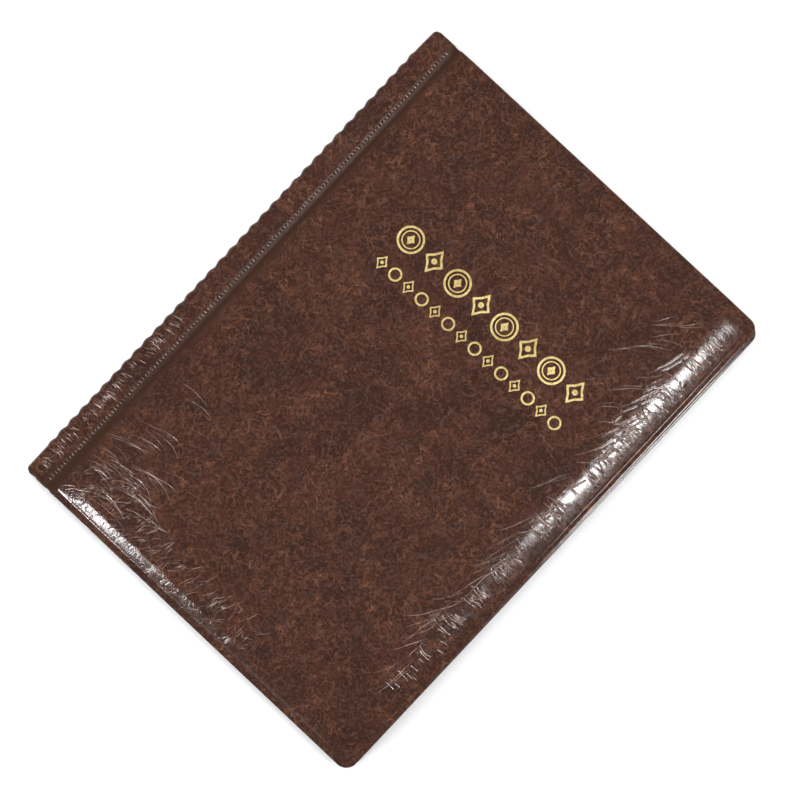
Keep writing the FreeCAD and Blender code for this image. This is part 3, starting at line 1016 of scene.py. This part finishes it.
def make_weld_core(material):
    """The fused bar inside the weld, ridged where each leaf runs into it."""
    low_z, high_z = SKIN, STRIP_Z - SKIN
    turns = np.linspace(0, 2 * math.pi, 49)[:-1]
    half_x = (WELD_HIGH[0] - WELD_LOW[0]) / 2 - 0.05 * MM
    half_z = (high_z - low_z) / 2
    power = 0.35
    ring_x = np.sign(np.cos(turns)) * np.abs(np.cos(turns)) ** power * half_x
    ring_z = np.sign(np.sin(turns)) * np.abs(np.sin(turns)) ** power * half_z
    ring_x = ring_x * (1 - 0.06 * np.cos(ring_z / (0.7 * MM) * 2 * math.pi) ** 2)
    ys = np.linspace(-HEAD_Y + 0.4 * MM, HEAD_Y - 0.4 * MM, 60)
    middle_x = (WELD_LOW[0] + WELD_HIGH[0]) / 2
    grid = np.empty((len(ys), len(turns), 3))
    grid[..., 0] = middle_x + ring_x
    grid[..., 1] = ys[:, None]
    grid[..., 2] = MIDDLE_Z + ring_z
    faces = ring_quads(len(ys), len(turns))[:, ::-1]
    piece = make_piece("weld_core", grid, faces, material, "spine", ["binding_weld"])
    close_ends(piece, len(turns), len(ys))


def close_ends(piece, ring, rings):
    """Closes a tube's two ends with a face each."""
    made = bmesh.new()
    made.from_mesh(piece.data)
    corners = list(made.verts)
    made.faces.new(corners[:ring])
    made.faces.new(corners[:(rings - 1) * ring - 1:-1])
    bmesh.ops.recalc_face_normals(made, faces=made.faces)
    made.to_mesh(piece.data)
    made.free()


# ---- the leaves

def leaf_name(number):
    return f"leaf_{number:02d}"


def make_leaf_fold(number, material):
    """The strip of film between the weld and the leaf, where the real film bends as the leaf turns; here it
    is a flat sheet.
    """
    name = leaf_name(number)
    low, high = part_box(f"{name}_margin")
    fold_x = high[0] + 0.1 * MM
    xs = np.linspace(low[0], fold_x + 1.6 * MM, 16)
    ys = np.linspace(low[1], high[1], 24)
    x, y = np.meshgrid(xs, ys, indexing="ij")
    z = np.full(x.shape, (low[2] + high[2]) / 2 + FILM / 2)
    grid = np.stack([x, y, z], axis=2)
    points, faces = shell(grid, FILM)
    piece = make_piece(f"{name}_fold", points, faces, material, None, [f"{name}_margin"])
    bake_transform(piece)


def seal_bar(x0, x1, y0, y1, z):
    """A welded line as a low rounded bar."""
    long_x = x1 - x0 > y1 - y0
    steps = max(3, round(max(x1 - x0, y1 - y0) / (8 * MM)))
    xs = np.linspace(x0, x1, steps if long_x else 4)
    ys = np.linspace(y0, y1, 4 if long_x else steps)
    x, y = np.meshgrid(xs, ys, indexing="ij")
    across = (y - y0) / (y1 - y0) if long_x else (x - x0) / (x1 - x0)
    height = z + 0.05 * MM * np.sin(across * math.pi)
    return np.stack([x, y, height], axis=2)


def make_leaf_seals(number, material):
    """The welded lines round a leaf's pockets."""
    name = leaf_name(number)
    low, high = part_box(f"{name}_pockets")
    rows = COIN_ROWS if number <= COIN_LEAVES else NOTE_ROWS
    columns = COIN_COLUMNS if number <= COIN_LEAVES else 1
    z = high[2] + 0.005 * MM
    pitch = (high[1] - low[1] + POCKET_GAP) / rows
    bars = []
    for row in range(rows):
        y0 = low[1] + row * pitch
        y1 = y0 + pitch - POCKET_GAP
        bars.append(seal_bar(low[0], high[0], y0, y0 + SEAL, z))
        for column in range(columns + 1):
            x = low[0] + (high[0] - low[0] - SEAL) * column / columns
            bars.append(seal_bar(x, x + SEAL, y0 + SEAL, y1, z))
    points, faces = joined(bars)
    make_piece(f"{name}_seals", points, faces, material, name)


# ---- the ornament

def closed_curve(kind, count):
    """Points of a curve of size 1 round the origin: a circle or a lozenge with hollowed sides."""
    turn = np.linspace(0, 2 * math.pi, count + 1)[:-1]
    c, s = np.cos(turn), np.sin(turn)
    if kind == "circle":
        return np.stack([c, s], axis=1)
    reach = 1 / (np.abs(c) + np.abs(s))
    hollow = 1 - 0.10 * np.sin(2 * turn) ** 2
    return np.stack([0.80 * c * reach * hollow, s * reach * hollow], axis=1)


def foil_ring(panel, x, y, kind, outer, inner, first):
    """A ring of foil between two curves of one kind, laid on the cover."""
    count, steps = 64, 6
    curve = closed_curve(kind, count)
    sizes = np.linspace(inner, outer, steps)
    px = x + sizes[:, None] * curve[None, :, 0]
    py = y + sizes[:, None] * curve[None, :, 1]
    t = np.linspace(-1, 1, steps)[:, None]
    lift = FOIL * (1 - t**6) - 0.02 * MM
    pz = panel.surface(px, py) + lift
    points = np.stack([px, py, pz], axis=2).reshape(-1, 3)
    return points, ring_quads(steps, count, first)


def coin_motif(x, y, size):
    """A coin: a rim, an inner line and a lozenge."""
    r = size / 2
    return [
        (x, y, "circle", r, 0.82 * r),
        (x, y, "circle", 0.67 * r, 0.57 * r),
        (x, y, "lozenge", 0.44 * r, 0.04 * r),
    ]


def lozenge_motif(x, y, size):
    """A lozenge frame round a dot."""
    r = size / 2
    return [(x, y, "lozenge", r, 0.68 * r), (x, y, "circle", 0.22 * r, 0.02 * r)]


def bead_motif(x, y, size):
    """A small ring."""
    return [(x, y, "circle", 0.42 * size, 0.29 * size)]


def make_ornament(panel, material):
    """Two rows of gold foil on the front cover, in the frame's ornament box."""
    low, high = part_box("front_cover_ornament")
    rings = []
    rows = (
        (LARGE_MOTIFS, high[1] - LARGE_SIZE / 2, LARGE_SIZE),
        (SMALL_MOTIFS, low[1] + SMALL_SIZE / 2, SMALL_SIZE),
    )
    for row, (count, y, size) in enumerate(rows):
        start, end = low[0] + size / 2, high[0] - size / 2
        for number in range(count):
            x = start + (end - start) * number / (count - 1)
            if row == 0:
                motif = coin_motif if number % 2 == 0 else lozenge_motif
            else:
                motif = lozenge_motif if number % 2 == 0 else bead_motif
            rings += motif(x, y, size)
    points, faces, first = [], [], 0
    for x, y, kind, outer, inner in rings:
        ring_points, ring_faces = foil_ring(panel, x, y, kind, outer, inner, first)
        points.append(ring_points)
        faces.append(ring_faces)
        first += len(ring_points)
    make_piece("front_cover_foil", np.concatenate(points), np.concatenate(faces), material, "front_cover",
               ["front_cover_ornament"])


# ---- CAD nodes that stay

def paint(node, material):
    """Gives a CAD node a material of this script's."""
    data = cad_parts[node].data
    data.materials.clear()
    data.materials.append(material)


def paint_frame(lining, board, guard, film, pocket):
    for side in ("front", "back"):
        paint(f"{side}_cover_lining", lining)
        paint(f"{side}_cover_board", board)
    paint("spine_guards", guard)
    paint("leaf_bound_edges", film)
    for number in range(1, LEAVES + 1):
        paint(f"{leaf_name(number)}_film", film)
        paint(f"{leaf_name(number)}_pockets", pocket)


def main():
    make_camera()
    make_lights()
    make_world()
    make_floor()
    leather = leatherette_material()
    foam = foam_material()
    film = film_material("clear_film", (0.34, 0.39, 0.42), 0.17, 0.16)
    pocket = film_material("pocket_film", (0.38, 0.43, 0.46), 0.10, 0.12)
    seal = seal_material()
    front = Panel(FRONT_HIGH[0], 0.42 * MM, 0.76 * MM, True)
    back = Panel(BACK_HIGH[0], 0.6 * MM, 1.2 * MM, False)
    make_panel(front, leather)
    make_panel(back, leather)
    make_padding("front_padding", front, foam, "front_cover", "front_cover_foam", False)
    make_padding("back_padding", back, foam, "back_cover", "back_cover_foam", True)
    make_spine_skin(leather)
    make_groove_skins(leather)
    make_weld_ribs(polished_material())
    make_weld_core(leather)
    make_ornament(front, foil_material())
    paint_frame(lining_material(), board_material(), guard_material(), film, pocket)
    for number in range(1, LEAVES + 1):
        make_leaf_fold(number, film)
        make_leaf_seals(number, seal)
    bpy.context.view_layer.update()


main()
